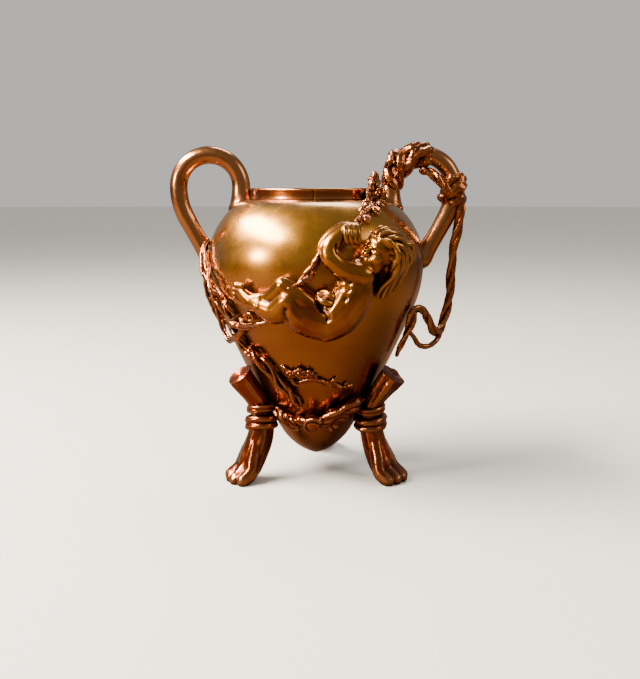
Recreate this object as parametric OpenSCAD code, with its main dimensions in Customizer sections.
// Small cast bronze amphora on three branch legs, with vine handles and a climbing putto.
// +Z is up, +Y points away from the front, and the table is at z = 0.

/* [Vase body] */
// Radius of the belly at its widest
belly_r = 44; // [43.5:0.25:44.5]
// Height of the belly's widest place above the table
belly_z = 88; // [87.5:0.25:88.5]
// Thickness of the cast wall
wall_t = 2.2; // [1.8:0.1:2.4]
// Inner radius of the mouth
mouth_r = 25; // [24.5:0.1:25.2]
// Height of the collar above the shoulder
collar_h = 4.6; // [4.2:0.1:5.4]

/* [Handles] */
// Radius of a handle's round bar
bar_r = 3.6; // [3.3:0.1:3.8]
// Radius of the arch over the top of a handle
arch_r = 12.7; // [12.2:0.1:13]
// Radius of the long bend on a handle's outer side
bend_r = 28; // [27:0.5:29]

/* [Legs] */
// Angle of a front leg from the middle of the front
leg_angle = 60; // [58:1:62]
// Thickness of a leg, as a share of its usual one
leg_fullness = 1; // [0.95:0.01:1.05]
// Radius of the lashing rope
rope_r = 1.1; // [1.05:0.05:1.2]
// Rope turns in each lashing
rope_turns = 4; // [3:1:4]

/* [Vines] */
// Thickness of every vine, as a share of its usual one
vine_fullness = 1; // [0.9:0.02:1.1]
// Depth of the grooves between wound strands, as a share of the vine's radius
groove = 0.18; // [0.1:0.02:0.24]
// Angle by which wound strands turn from one ring to the next
wind = 24; // [12:2:30]

/* [Figure] */
// Radius of the putto's head
head_r = 8.2; // [7.8:0.1:8.6]
// Fullness of the putto's limbs, as a share of their usual one
limb_fullness = 1; // [0.95:0.01:1.05]

/* [Fixings] */
// Radius of a screw's shank
screw_r = 1.2; // [1:0.05:1.3]
// Radius of a screw's head
screw_head_r = 2.2; // [2:0.1:2.4]
// Radius of the dowels that hold the handles
dowel_r = 1.25; // [1:0.05:1.4]

/* [Hidden] */

// Where the vase's axis stands, so that the whole object is centred on the origin
axis_x = -0.8;
axis_y = 3.8;

// Colours of the cast and patinated pieces
golden_bronze = "#b8792f";
copper_bronze = "#9a5a3c";
dark_bronze = "#6e4630";
screw_brass = "#c9a95c";

// Clearance between pieces that fit together, and the gap under a laid vine
fit_gap = 0.05;
laid_gap = 0.06;
// Anything longer than this reaches right through the vase
far = 200;

// The wall's outline is five arcs that run into each other: tip, flank, belly, shoulder, crown
tip_arc = 26.1;
flank_arc = 430;
belly_arc = 46.5;
shoulder_arc = 29.5;
crown_arc = 12;
// Angles below and above the horizontal at which one arc hands over to the next
tip_angle = 30.4;
flank_angle = 22.8;
crown_angle = 51;
crown_end = 80;

function toward(a) = [cos(a), sin(a)];
belly_c = [belly_r - belly_arc, belly_z];
flank_c = belly_c + (belly_arc - flank_arc) * toward(-flank_angle);
tip_c = flank_c + (flank_arc - tip_arc) * toward(-tip_angle);
shoulder_c = [belly_r - shoulder_arc, belly_z];
crown_c = shoulder_c + (shoulder_arc - crown_arc) * toward(crown_angle);
tip_end = acos(-tip_c.x / tip_arc);
crown_z = crown_c.y + crown_arc * sin(crown_end);
rim_z = crown_z + collar_h;

// The inside follows the outside down to a solid tip
floor_z = 20;
spigot_depth = 5;
collar_wall = 1.7;
collar_out_r = mouth_r + collar_wall;
spigot_r = mouth_r + 0.9;
rim_bead_r = 0.7;

// Handles stand in the plane through the vase's axis
foot_x = 30.4;
arch_z = 118.5;
bend_angle = 27.5;
bar_end = 18;
bar_end_r = 2.8;
knuckle = 0.2;
foot_flare_r = 5;
foot_flare_h = 4;
arch_c = [foot_x + arch_r, arch_z];
bend_c = [foot_x + 2 * arch_r - bend_r, arch_z];
bar_turn = bend_c + bend_r * toward(-bend_angle);
upper_dowel = [108.5, 116.5];
lower_dowel = [41.5, 48.5];
lower_dowel_z = 93.5;

// A leg's path from its sawn top to its toe: distance from the axis, height, radius
leg_path = [[35.6, 44.2, 4.9], [33.2, 41, 4.6], [30.2, 37.2, 4.2], [27.2, 33.2, 3.8], [26, 29, 3.4],
    [25.7, 25, 3.5], [26.2, 21, 4.2], [27.6, 15.5, 5.2], [30, 10.5, 5.9], [33.6, 6, 6.2], [37.6, 3, 5.8],
    [41.6, 1.4, 4.6], [44.6, 0.8, 3]];
bark_sides = 12;
bark_depth = 0.07;
// A root toe beside the foot: distance from the axis, height, radius
toe_path = [[33, 6, 4], [38, 3.2, 3.6], [42, 1.6, 3], [45, 0.8, 2]];
toe_spread = 28;
leg_screw_z = 33.2;
leg_screw_reach = 5;
screw_head_h = 1.6;
// A flat screw head stands this far off the sloping wall, so that it clears it all round
screw_seat = 1.1;
lash_z = 23.8;
lash_pitch = 1.9;
lash_lean = 3;
lash_clear = 0.15;

// Screws behind the putto: angle from the front, height, length
putto_screw_places = [[15, 70], [22, 82]];
putto_screw_reach = 4;

// Vines laid on the wall: angle from the front, height, radius
left_thick_route = [[-82, 95.5, 1.6], [-78, 91, 2.1], [-71, 86.5, 2.3], [-62, 81, 2.4], [-58, 77, 2.4],
    [-54, 73, 2.2], [-51, 70.6, 1.5]];
left_thin_route = [[-86, 85.5, 1.1], [-83, 82, 1.5], [-82, 77, 1.6], [-82, 72, 1.6], [-81, 66, 1.6],
    [-80, 61, 1.6], [-74, 58, 1.6], [-66, 58.4, 1.5], [-58, 60.8, 1.1]];
diagonal_route = [[-53, 59.6, 1.5], [-51, 57.4, 2], [-47, 55.4, 2.2], [-41, 53.5, 2.2],
    [-35, 50.3, 2.2], [-32, 46.5, 2.1], [-28, 43, 2.1], [-22, 39.2, 2], [-18, 35.4, 1.8], [-15, 32.4, 1.2]];
twig_route = [[-24, 50, 0.7], [-21, 46.5, 1], [-16, 43.2, 1.1], [-7, 44.2, 1.1], [2, 44.5, 1.1],
    [9, 43, 1.1], [14, 42.4, 1.1], [21, 41.2, 1], [31, 41.4, 0.6]];
blossom_places = [[-17, 47.2, 1.7], [-11.5, 47.6, 1.9], [-6, 47.4, 1.7], [25, 42.4, 1.1]];
front_garland_route = [[-44, 30, 1.6], [-38, 28.8, 2.4], [-28, 27.1, 2.6], [-16, 26.2, 2.6],
    [-4, 26.8, 2.6], [8, 28, 2.6], [20, 30.2, 2.6], [33, 32.2, 2.5], [42, 33, 1.8]];
side_garland_route = [[78, 32.5, 1.6], [84, 31.5, 2.4], [98, 29.2, 2.6], [112, 27.6, 2.6],
    [126, 27.6, 2.6], [140, 29, 2.6], [154, 31, 2.4], [162, 32, 1.6]];
garland_rose = [-3, 27];

// Free vines: x, y, z, radius
swing_route = [[13, -40.9, 104.6, 1.2], [9.5, -43.6, 102, 1.5], [5.3, -45.5, 98.8, 1.6],
    [1.6, -46.6, 93.5, 1.6], [-1, -47, 88.6, 1.6], [-3.8, -46.6, 85.4, 1.6], [-7.5, -45.4, 82, 1.4]];
heel_route = [[-17.6, -42.2, 69.6, 1.2], [-21.6, -39.6, 67.6, 1.6], [-26.4, -34.6, 66.4, 1.6],
    [-29.4, -30.4, 65.8, 1.5], [-30.4, -27, 65.2, 1.3]];
cluster_route = [[21.3, -21, 111, 1.8], [22.4, -19.6, 115, 2.6], [22.6, -19, 119, 2.9],
    [22.5, -18.6, 122.4, 2.2], [22.6, -18.6, 124.2, 1]];
gather_route = [[22.2, -22.5, 114, 1.8], [21.6, -28, 111.9, 2.2], [19.6, -33.2, 109.6, 2.4],
    [17.2, -38, 106.6, 2.2], [14.6, -41.2, 104, 1.6]];
loop_route = [[24, -19.8, 120.5, 1.2], [25.8, -21.4, 117.5, 1.2], [26, -24, 114, 1.2],
    [23.6, -28.4, 111.9, 1.3]];
hanging_route = [[59.1, -1.2, 113.5, 1.5], [59, -1.6, 108.5, 1.9], [57.9, -1.2, 102, 1.9],
    [56.6, -0.8, 95, 1.9], [56, -0.4, 88, 1.9], [55.4, 0, 81, 1.9], [54.6, 0, 74, 1.9],
    [53.8, 0, 68, 1.9], [52.6, -1.6, 63, 1.8], [49.8, -4.6, 60, 1.7], [46.8, -8, 61.8, 1.7],
    [45, -10.6, 66.6, 1.7], [42, -13.4, 70, 1.7], [39, -16.6, 69.4, 1.7], [38, -16.4, 65, 1.6],
    [36.4, -15, 60.6, 1.5], [34.4, -13.4, 55.8, 1.4], [32.6, -12, 50.8, 0.9]];
tendril_route = [[52.8, -1.6, 62.4, 1], [49.6, -5, 56.2, 1.2], [45.6, -7, 54, 1.2],
    [42, -9, 54.8, 1.2], [39.4, -12, 58.6, 1.1], [37, -14.8, 61.8, 0.8]];
cuff_strand_route = [[42.6, -1, 125.4, 1.6], [45.8, -2, 124.4, 1.9], [49.4, -3.6, 121.4, 1.9],
    [52.6, -4.6, 117, 1.6]];
cuff_radii = [4.4, 4.8, 5, 5, 5, 4.8, 4.4];
cuff_start = 14;
cuff_sweep = 42;
cuff_groove = 0.6;
knot_place = [-50, 65];
knot_r = 3;
knot_strand_r = 1.4;
knot_lean = 38;

// The putto's limbs, each from its root to its end: x, y, z, radius
torso_path = [[8.6, -42, 65, 8], [10.4, -43.4, 70, 8.4], [13, -44.4, 75.6, 8.4], [15.8, -44.2, 81, 7.4],
    [18.8, -43.8, 85.6, 5.8], [21.6, -43.6, 89, 4]];
near_thigh_path = [[8.4, -45, 66.4, 7], [1.4, -47.2, 70.8, 6.2], [-4.8, -47.8, 75.2, 5.2],
    [-10, -47, 78.6, 4.2]];
near_shin_path = [[-9.8, -46.8, 78, 4.2], [-14.6, -44.4, 75.4, 4.4], [-19.2, -42, 74.6, 3.4],
    [-23, -40, 75.2, 2.6]];
near_foot_path = [[-24.4, -39.6, 74.2, 2.7], [-27.2, -38, 77.4, 2.6], [-29.6, -37, 80, 2.2]];
far_thigh_path = [[4, -40, 70, 6], [-4.4, -44, 78.6, 4.8], [-11, -44.8, 83, 4]];
far_shin_path = [[-11, -44.6, 83, 3.8], [-16.8, -41.4, 80.6, 3.6], [-22.4, -38.6, 81, 2.5]];
near_arm_path = [[19.6, -46.4, 86.8, 4.2], [12.4, -49.4, 88.8, 4], [5.6, -50, 92.2, 3.4],
    [5.8, -49.4, 95.8, 3.2], [8.4, -47.6, 99.4, 2.6], [10.8, -46, 101.8, 2.1]];
far_arm_path = [[14, -42, 88, 3.8], [6.4, -43.4, 93.6, 3.2], [8, -43.4, 99, 2.7], [11.4, -43, 102, 2.2]];
neck_path = [[20.4, -44, 87.4, 3.8], [23.8, -43.4, 92, 3.6]];
head_c = [25.6, -43.2, 94.8];
hair_c = [29.8, -40.6, 95.6];
hair_r = 7.6;
nose_path = [[19.6, -47.6, 98.4, 0.7], [18.6, -48, 96.8, 1.1]];
fist_c = [12.8, -44.6, 102.6];
fist_r = 3;
finger_r = 0.85;
finger_curl = [[0, -1.4, 2.4], [0, -3, 0.8], [0, -3, -1.6], [0, -1.8, -3]];
finger_spacing = 1.5;
finger_count = 4;
toe_row = [[-29.2, -38.2, 82.2], [-30.4, -37.6, 81.4], [-31, -37, 80.2], [-30.8, -36.6, 78.9],
    [-30.2, -36.2, 77.6]];
toe_r = 0.9;
leaf_path = [[2.6, -48, 79.4, 1], [4.4, -50, 76.6, 2.4], [3.4, -50.4, 73.6, 2.2], [1.6, -50.2, 71.6, 0.8]];

wound_sides = 12;
wound_lobes = 3;
cylinder_fn = 64;
wall_fn = 120;

// ---- Outline of the wall ----
function arc(c, r, a0, a1, n) = [for (i = [0 : n]) c + r * toward(a0 + (a1 - a0) * i / n)];
function arc_at(z) =
    z > crown_c.y + crown_arc * sin(crown_angle) ? [crown_c, crown_arc] :
    z > belly_z ? [shoulder_c, shoulder_arc] :
    z > belly_z - belly_arc * sin(flank_angle) ? [belly_c, belly_arc] :
    z > flank_c.y - flank_arc * sin(tip_angle) ? [flank_c, flank_arc] : [tip_c, tip_arc];
function radius_at(z, depth) = let (a = arc_at(z)) a[0].x + sqrt(pow(a[1] - depth, 2) - pow(z - a[0].y, 2));

// A point a given distance off the wall, at an angle from the front and a height
function off_wall(angle, z, lift) = let (
    c = arc_at(z)[0],
    r = radius_at(z, 0),
    out = [r - c.x, z - c.y] / arc_at(z)[1],
    far_r = r + lift * out.x)
    [far_r * sin(angle), -far_r * cos(angle), z + lift * out.y];

// ---- Paths ----
function unit(v) = v / norm(v);
function xyz(p) = [p.x, p.y, p.z];
function outward(p) = unit([p.x, p.y, 0]);
function heading(path, i) =
    unit(xyz(path[min(i + 1, len(path) - 1)]) - xyz(path[max(i - 1, 0)]));
function level(v, t) = unit(v - (v * t) * t);

// A sideways direction at every point, carried along the path without twisting
function carried(path, start) = [
    for (i = 0, s = level(start, heading(path, 0)); i < len(path);
        i = i + 1, s = i < len(path) ? level(s, heading(path, i)) : s) s];

// A smooth curve through hand-set points, whatever each point holds
function between(a, b, c, d, t) = (2 * b + (c - a) * t + (2 * a - 5 * b + 4 * c - d) * t * t
    + (3 * b - a - 3 * c + d) * t * t * t) / 2;
function flowing(points, n) = let (last = len(points) - 1) [
    for (i = [0 : last - 1]) for (k = [0 : n - 1])
        between(points[max(i - 1, 0)], points[i], points[i + 1], points[min(i + 2, last)], k / n),
    points[last]];

// A route of [angle, height, radius] laid on the wall, its deepest ridge just clear of it
function laid(route, n, ridge = groove) = [
    for (p = flowing(route, n)) let (r = p[2] * vine_fullness)
        [each off_wall(p[0], p[1], r * (1 + ridge) + laid_gap), r]];
function thick(path, share) = [for (p = path) [p.x, p.y, p.z, p[3] * share]];

// Round ends for a path of [x, y, z, r] points
function cap(p, dir, turns) = [for (a = turns) [each xyz(p) + dir * p[3] * sin(a), p[3] * cos(a)]];
function domed(path) = let (last = len(path) - 1) concat(
    cap(path[0], -heading(path, 0), [70, 36]), path, cap(path[last], heading(path, last), [36, 70]));

// ---- Sculpted skins ----
function skin_rings(path, sides, lobes, depth, turn, start) = let (side = carried(path, start)) [
    for (i = [0 : len(path) - 1]) let (up = cross(heading(path, i), side[i]))
        for (k = [0 : sides - 1]) let (
            a = 360 * k / sides,
            r = path[i][3] * (1 + depth * cos(lobes * a)))
            xyz(path[i]) + r * (cos(a + turn * i) * side[i] + sin(a + turn * i) * up)];
function band(first, second, sides) = [for (k = [0 : sides - 1]) let (j = (k + 1) % sides)
    each [[first + k, second + k, second + j], [first + k, second + j, first + j]]];

// A closed skin swept along a path of [x, y, z, r] points
module stem(path, sides = 10, lobes = 0, depth = 0, turn = 0, start = undef) {
    last = len(path) - 1;
    polyhedron(
        skin_rings(path, sides, lobes, depth, turn, is_undef(start) ? outward(path[0]) : start),
        concat(
            [[for (k = [0 : sides - 1]) k]],
            [for (i = [0 : last - 1]) each band(i * sides, (i + 1) * sides, sides)],
            [[for (k = [sides - 1 : -1 : 0]) last * sides + k]]));
}

// Strands wound together into one vine
module wound_vine(path, turn = wind) {
    stem(path, wound_sides, wound_lobes, groove, turn);
}

// A wound skin with a round hole along it, for a vine that grips a bar
module wound_sleeve(path, hole_r, lobes, depth, turn) {
    last = len(path) - 1;
    inner = [for (p = path) [p.x, p.y, p.z, hole_r / cos(180 / wound_sides)]];
    count = (last + 1) * wound_sides;
    polyhedron(
        concat(skin_rings(path, wound_sides, lobes, depth, turn, [0, 1, 0]),
            skin_rings(inner, wound_sides, 0, 0, turn, [0, 1, 0])),
        concat(
            [for (i = [0 : last - 1]) each band(i * wound_sides, (i + 1) * wound_sides, wound_sides)],
            [for (i = [0 : last - 1])
                each band(count + (i + 1) * wound_sides, count + i * wound_sides, wound_sides)],
            band(count, 0, wound_sides),
            band(last * wound_sides, count + last * wound_sides, wound_sides)));
}

module limb(path, sides = 10, start = undef) {
    stem(domed(thick(path, limb_fullness)), sides, start = start);
}

// Joins sculpted shapes into one faceted skin
module meshed() {
    resize([0, 0, 0]) children();
}

module on_axis() {
    translate([axis_x, axis_y, 0]) children();
}

module around(angle) {
    rotate([0, 0, angle]) children();
}

// ---- Vase ----
outer_line = concat(
    arc(tip_c, tip_arc, -tip_end, -tip_angle, 6), arc(flank_c, flank_arc, -tip_angle, -flank_angle, 8),
    arc(belly_c, belly_arc, -flank_angle, 0, 8), arc(shoulder_c, shoulder_arc, 0, crown_angle, 12),
    arc(crown_c, crown_arc, crown_angle, crown_end, 4));
outer_outline = [for (i = [0 : len(outer_line) - 1])
    if (i == 0 || norm(outer_line[i] - outer_line[i - 1]) > 0.01) [max(outer_line[i].x, 0), outer_line[i].y]];
flank_in = flank_arc - wall_t;
inner_line = concat(
    [[radius_at(floor_z, wall_t), floor_z]],
    arc(flank_c, flank_in, -asin((flank_c.y - floor_z - 4) / flank_in), -flank_angle, 7),
    arc(belly_c, belly_arc - wall_t, -flank_angle + 3, 0, 7),
    arc(shoulder_c, shoulder_arc - wall_t, 4, crown_angle, 11),
    arc(crown_c, crown_arc - wall_t, crown_angle + 8, crown_end, 3));

// The body with no hollow: other castings are fitted against it
module body_core(fn = wall_fn) {
    rotate_extrude($fn = fn) polygon(concat(outer_outline, [[0, crown_z]]));
}

module body_hollow() {
    hole_r = spigot_r + fit_gap;
    rotate_extrude($fn = wall_fn) polygon(concat(
        [[0, floor_z]], inner_line,
        [[hole_r, crown_z - wall_t], [hole_r, crown_z + 1], [0, crown_z + 1]]));
}

module vase_body() {
    color(golden_bronze) on_axis() difference() {
        body_core();
        body_hollow();
        for (side = [0, 180]) rotate([0, 0, side]) handle_dowel_pair(fit_gap);
        for (angle = [-leg_angle, leg_angle, 180]) leg_screw(angle, fit_gap);
        for (place = putto_screw_places) putto_screw(place, fit_gap);
    }
}

module neck_collar() {
    color(copper_bronze) on_axis() rotate_extrude($fn = wall_fn) union() {
        polygon([[mouth_r, crown_z - spigot_depth], [spigot_r, crown_z - spigot_depth],
            [spigot_r, crown_z], [collar_out_r, crown_z], [collar_out_r, rim_z - rim_bead_r],
            [collar_out_r - rim_bead_r, rim_z], [mouth_r, rim_z]]);
        translate([collar_out_r - rim_bead_r, rim_z - rim_bead_r]) circle(rim_bead_r, $fn = 32);
    }
}

// ---- Handles ----
module upright() {
    rotate([90, 0, 0]) children();
}

module handle_bar() {
    difference() {
        union() {
            translate([foot_x, 0, crown_z - 4])
                cylinder(r = bar_r, h = arch_z - crown_z + 4, $fn = cylinder_fn);
            translate([foot_x, 0, crown_z - 4])
                cylinder(r1 = foot_flare_r + 1, r2 = bar_r, h = foot_flare_h + 4, $fn = cylinder_fn);
            translate([arch_c.x, 0, arch_c.y]) upright() rotate_extrude(angle = 180, $fn = cylinder_fn)
                translate([arch_r, 0]) circle(bar_r, $fn = cylinder_fn);
            translate([bend_c.x, 0, bend_c.y]) upright() rotate([0, 0, -bend_angle])
                rotate_extrude(angle = bend_angle, $fn = cylinder_fn)
                    translate([bend_r, 0]) circle(bar_r, $fn = cylinder_fn);
            translate([bar_turn.x, 0, bar_turn.y]) rotate([0, 180 + bend_angle, 0])
                cylinder(r1 = bar_r, r2 = bar_end_r, h = bar_end, $fn = cylinder_fn);
            for (place = [bar_turn, [bend_c.x + bend_r, arch_z]])
                translate([place.x, 0, place.y]) sphere(bar_r + knuckle, $fn = cylinder_fn);
        }
        body_core();
        cylinder(r = collar_out_r, h = far, $fn = wall_fn);
        handle_dowel_pair(fit_gap);
    }
}

// One upright dowel under a handle's foot and one level dowel at its lower end
module handle_dowel_pair(clear = 0) {
    translate([foot_x, 0, upper_dowel[0]])
        cylinder(r = dowel_r + clear, h = upper_dowel[1] - upper_dowel[0] + clear, $fn = cylinder_fn);
    translate([lower_dowel[0] - clear, 0, lower_dowel_z]) rotate([0, 90, 0])
        cylinder(r = dowel_r + clear, h = lower_dowel[1] - lower_dowel[0] + 2 * clear, $fn = cylinder_fn);
}

module left_handle() {
    color(copper_bronze) on_axis() rotate([0, 0, 180]) handle_bar();
}

module right_handle() {
    color(copper_bronze) on_axis() handle_bar();
}

module handle_dowels() {
    color(screw_brass) on_axis() for (side = [0, 180]) rotate([0, 0, side]) handle_dowel_pair();
}

// Points along the arch, measured from the handle's outer side over its top
function arch_path(from, to, radii) = let (n = len(radii) - 1) [
    for (i = [0 : n]) let (p = arch_c + arch_r * toward(from + (to - from) * i / n))
        [p.x, 0, p.y, radii[i]]];

module handle_vine_wrap() {
    color(copper_bronze) on_axis() wound_sleeve(
        arch_path(178, 82, [4.7, 4.9, 5.2, 5.5, 5.7, 5.8, 5.7, 5.5, 5.2, 5, 4.8, 4.6, 4.4]),
        bar_r + fit_gap, 4, groove * cuff_groove, wind);
}

// The bar under the wound vines, a little fuller than the handle itself
module handle_tube() {
    r = bar_r + knuckle + fit_gap;
    translate([arch_c.x, 0, arch_c.y]) upright()
        rotate_extrude(angle = 180, $fn = 48) translate([arch_r, 0]) circle(r, $fn = 16);
    translate([bend_c.x, 0, bend_c.y]) upright() rotate([0, 0, -bend_angle])
        rotate_extrude(angle = bend_angle, $fn = 96) translate([bend_r, 0]) circle(r, $fn = 16);
}

// The vine that comes from under the arch, grips the handle's outer side, hangs and curls
module hanging_vine() {
    cuff = [for (i = [0 : len(cuff_radii) - 1]) let (
        a = cuff_start - cuff_sweep * i / (len(cuff_radii) - 1),
        p = a > 0 ? arch_c + arch_r * toward(a) : bend_c + bend_r * toward(a * arch_r / bend_r))
        [p.x, 0, p.y, cuff_radii[i]]];
    color(copper_bronze) on_axis() meshed() difference() {
        union() {
            stem(cuff, wound_sides, 4, groove * cuff_groove, wind, [0, 1, 0]);
            wound_vine(flowing(cuff_strand_route, 3));
            wound_vine(thick(flowing(hanging_route, 3), vine_fullness));
            stem(thick(flowing(tendril_route, 3), vine_fullness), 6);
        }
        handle_tube();
        body_core(96);
    }
}

// ---- Putto and the vine it climbs ----
module neck_leaf_cluster() {
    color(copper_bronze) on_axis() meshed() difference() {
        union() {
            stem(domed(flowing(cluster_route, 3)), 12, 4, 0.14, wind);
            stem(domed(flowing(gather_route, 3)), 12, 4, 0.14, wind);
            stem(domed(flowing(loop_route, 3)), 8);
        }
        body_core(96);
        cylinder(r = collar_out_r + fit_gap, h = far, $fn = 96);
    }
}

module swing_vine() {
    color(copper_bronze) on_axis() meshed() difference() {
        wound_vine(thick(flowing(swing_route, 4), vine_fullness));
        body_core(96);
        putto_figure();
    }
}

module fist() {
    translate(fist_c) scale([1.15, 0.9, 1]) sphere(fist_r, $fn = 20);
    for (i = [0 : finger_count - 1]) {
        shift = (i - (finger_count - 1) / 2) * finger_spacing;
        limb([for (p = finger_curl) [each fist_c + [shift, 0.25 * shift, 0] + p, finger_r]], 6, [1, 0, 0]);
    }
}

module putto_head() {
    translate(head_c) rotate([-12, -32, 0]) scale([0.9, 0.94, 1.04]) sphere(head_r, $fn = 24);
    translate(hair_c) rotate([0, -20, 0]) scale([0.95, 0.86, 1]) sphere(hair_r, $fn = 20);
    limb(nose_path, 6);
}

module putto_figure() {
    limb(torso_path, 14);
    for (path = [near_thigh_path, far_thigh_path]) limb(path, 12);
    for (path = [near_shin_path, far_shin_path, near_foot_path, near_arm_path, far_arm_path, neck_path])
        limb(path, 10);
    for (toe = toe_row) translate(toe) sphere(toe_r, $fn = 8);
    limb(leaf_path, 8);
    fist();
    putto_head();
}

module putto() {
    color(golden_bronze) on_axis() difference() {
        meshed() difference() {
            putto_figure();
            body_core(96);
        }
        for (place = putto_screw_places) putto_screw(place, fit_gap);
    }
}

// A screw through the wall, its head inside: angle from the front, height
module putto_screw(place, clear = 0) {
    around(place[0]) wall_screw(place[1], putto_screw_reach, clear);
}

module wall_screw(z, reach, clear = 0) {
    seat = radius_at(z, wall_t) - screw_seat;
    translate([0, -seat, z]) rotate([90, 0, 0])
        cylinder(r = screw_r + clear, h = radius_at(z, 0) - seat + reach + clear, $fn = cylinder_fn);
    if (clear == 0) translate([0, -seat + screw_head_h, z]) rotate([90, 0, 0])
        cylinder(r = screw_head_r, h = screw_head_h, $fn = cylinder_fn);
}

module putto_screws() {
    color(screw_brass) on_axis() for (place = putto_screw_places) putto_screw(place);
}

module heel_vine_knot() {
    color(copper_bronze) on_axis() meshed() difference() {
        union() {
            translate(off_wall(knot_place[0], knot_place[1], knot_strand_r)) around(knot_place[0])
                for (lean = [-knot_lean, knot_lean]) rotate([0, lean, 0]) scale([0.8, 1, 1.2])
                    rotate([90, 0, 0]) rotate_extrude($fn = 14)
                        translate([knot_r, 0]) circle(knot_strand_r, $fn = 7);
            stem(thick(flowing(heel_route, 3), vine_fullness), 8);
        }
        body_core(96);
        putto_figure();
    }
}

// ---- Vines laid on the wall ----
module left_vine_thick() {
    color(copper_bronze) on_axis() wound_vine(laid(left_thick_route, 4));
}

module left_vine_thin() {
    color(copper_bronze) on_axis() wound_vine(laid(left_thin_route, 3));
}

module diagonal_vine() {
    color(copper_bronze) on_axis() wound_vine(laid(diagonal_route, 3));
}

module blossom_twig() {
    color(golden_bronze) on_axis() meshed() union() {
        stem(laid(twig_route, 3, 0), 8);
        for (place = blossom_places)
            translate(off_wall(place[0], place[1], place[2] + laid_gap)) sphere(place[2], $fn = 12);
    }
}

module garland(route) {
    stem(laid(route, 3, 0.26), wound_sides, wound_lobes, 0.26, wind);
}

module front_garland() {
    rose = off_wall(garland_rose[0], garland_rose[1], 6.4);
    color(copper_bronze) on_axis() meshed() union() {
        garland(front_garland_route);
        translate(rose) around(garland_rose[0]) rotate([90, 0, 0]) {
            rotate_extrude($fn = 16) translate([2.1, 0]) circle(1, $fn = 8);
            sphere(1.5, $fn = 12);
        }
    }
}

module left_garland() {
    color(copper_bronze) on_axis() mirror([1, 0, 0]) garland(side_garland_route);
}

module right_garland() {
    color(copper_bronze) on_axis() garland(side_garland_route);
}

// ---- Legs ----
module branch(path) {
    stem([for (p = path) [0, -p[0], p[1], p[2] * leg_fullness]],
        bark_sides, bark_sides / 2, bark_depth, 0, [1, 0, 0]);
}

module leg(angle) {
    difference() {
        around(angle) meshed() difference() {
            union() {
                branch(leg_path);
                for (side = [-1, 1]) translate([0, -leg_path[8][0], 0]) around(side * toe_spread)
                    translate([0, leg_path[8][0], 0]) branch(toe_path);
            }
            translate([-far / 2, -far / 2, -far]) cube([far, far, far]);
            body_core(96);
        }
        leg_screw(angle, fit_gap);
    }
}

module leg_screw(angle, clear = 0) {
    around(angle) wall_screw(leg_screw_z, leg_screw_reach, clear);
}

module left_leg() {
    color(copper_bronze) on_axis() leg(-leg_angle);
}

module right_leg() {
    color(copper_bronze) on_axis() leg(leg_angle);
}

module back_leg() {
    color(copper_bronze) on_axis() leg(180);
}

// Rope turns that bind a leg below its screw
module lashing(angle) {
    leg_there = max(leg_path[4][2], leg_path[5][2]) * leg_fullness * (1 + bark_depth);
    turn_r = leg_there + rope_r + lash_clear;
    around(angle) difference() {
        translate([0, -leg_path[5][0], lash_z]) rotate([-lash_lean, 0, 0])
            rotate_extrude($fn = cylinder_fn) union()
                for (i = [0 : rope_turns - 1])
                    translate([turn_r, lash_pitch * i]) circle(rope_r, $fn = 24);
        body_core();
    }
}

module left_lashing() {
    color(dark_bronze) on_axis() lashing(-leg_angle);
}

module right_lashing() {
    color(dark_bronze) on_axis() lashing(leg_angle);
}

module back_lashing() {
    color(dark_bronze) on_axis() lashing(180);
}

module leg_screws() {
    color(screw_brass) on_axis() for (angle = [-leg_angle, leg_angle, 180]) leg_screw(angle);
}

vase_body();
neck_collar();
left_handle();
right_handle();
handle_dowels();
handle_vine_wrap();
hanging_vine();
neck_leaf_cluster();
swing_vine();
putto();
putto_screws();
heel_vine_knot();
left_vine_thick();
left_vine_thin();
diagonal_vine();
blossom_twig();
front_garland();
left_garland();
right_garland();
left_leg();
right_leg();
back_leg();
left_lashing();
right_lashing();
back_lashing();
leg_screws();
